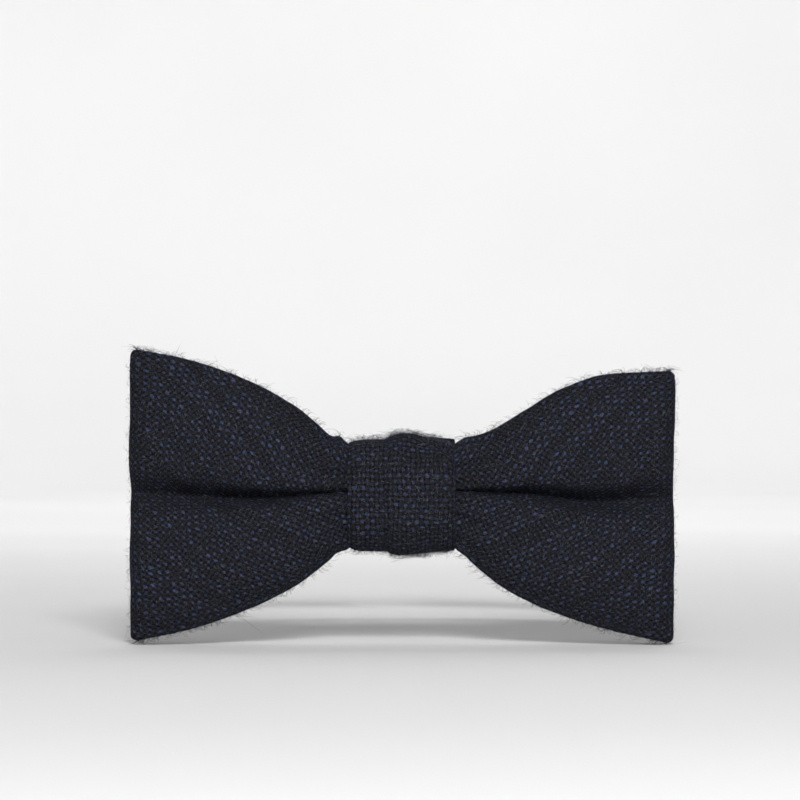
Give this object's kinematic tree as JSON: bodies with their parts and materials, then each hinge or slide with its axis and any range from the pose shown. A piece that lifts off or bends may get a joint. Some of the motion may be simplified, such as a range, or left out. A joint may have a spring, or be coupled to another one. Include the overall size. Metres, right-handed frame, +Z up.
{
  "type": "bow tie",
  "caption": "Ready-tied bow tie in dark woven wool: a puffed loop bow with a knot band, on an adjustable neck band with a slider, a hook and an eye.",
  "frame": {"origin": "middle of the knot's flat back face, where it rests on the collar", "axes": "+X towards the right wing as seen from the front, +Y from the knot towards the back of the neck, +Z up"},
  "size_m": [0.1256, 0.1452, 0.0663],
  "materials": {
    "wool": "plain weave, charcoal warp and navy weft, matte with a soft nap",
    "canvas": "unbleached interlining canvas, matte",
    "thread": "spun sewing thread, matte",
    "nickel": "nickel plate, polished",
    "tape": "woven satin label tape, blank"
  },
  "bodies": {
    "root": {"bow_loop": "wool", "loop_interfacing": "canvas", "bow_underlay": "wool", "gather_thread": "thread", "knot_band": "wool", "knot_lining": "canvas", "knot_closing_stitches": "thread", "care_label": "tape", "neckband_centre": "wool"},
    "left_front": {"neckband_left_front": "wool"},
    "left_rear": {"neckband_left_rear": "wool", "left_end_fold": "wool", "left_end_tack": "thread"},
    "eye": {"eye_clasp": "nickel"},
    "right_front": {"neckband_right_front": "wool"},
    "right_rear": {"neckband_right_rear": "wool", "neckband_right_slack": "wool"},
    "hook_end": {"right_end_fold": "wool", "neckband_return": "wool"},
    "hook": {"hook_clasp": "nickel"},
    "slider": {"slider_frame": "nickel", "tail_end_loop": "wool", "tail_tack": "thread"}
  },
  "joints": [
    {"name": "right_band_swing", "type": "hinge", "parent": "root", "child": "right_front", "pos_m": [0.03286, 0.00552, 0], "axis": [0, 0, 1], "range_deg": [-35, 0]},
    {"name": "right_band_flex", "type": "hinge", "parent": "right_front", "child": "right_rear", "pos_m": [0.05572, 0.03092, 0], "axis": [0, 0, 1], "range_deg": [-35, 0]},
    {"name": "left_band_swing", "type": "hinge", "parent": "root", "child": "left_front", "pos_m": [-0.03286, 0.00552, 0], "axis": [0, 0, 1], "range_deg": [0, 35]},
    {"name": "left_band_flex", "type": "hinge", "parent": "left_front", "child": "left_rear", "pos_m": [-0.05572, 0.03092, 0], "axis": [0, 0, 1], "range_deg": [0, 35]},
    {"name": "band_adjust", "type": "hinge", "parent": "right_rear", "child": "hook_end", "pos_m": [0, 0.0581, 0], "axis": [0, 0, 1], "range_deg": [-20, 0], "deforming": ["neckband_right_slack", "neckband_return"]},
    {"name": "slider_travel", "type": "hinge", "parent": "hook_end", "child": "slider", "pos_m": [0, 0.0581, 0], "axis": [0, 0, 1], "range_deg": [-20, 0], "deforming": ["neckband_return"]},
    {"name": "hook_swivel", "type": "hinge", "parent": "hook_end", "child": "hook", "pos_m": [0.01044, 0.11734, 0], "axis": [0, 0, 1], "range_deg": [-20, 20]},
    {"name": "eye_swivel", "type": "hinge", "parent": "left_rear", "child": "eye", "pos_m": [-0.01044, 0.11734, 0], "axis": [0, 0, 1], "range_deg": [-20, 20]}
  ],
  "couplings": [
    {"joint": "right_band_flex", "follows": "right_band_swing", "ratio": 1},
    {"joint": "left_band_flex", "follows": "left_band_swing", "ratio": 1},
    {"joint": "slider_travel", "follows": "band_adjust", "ratio": 1}
  ]
}
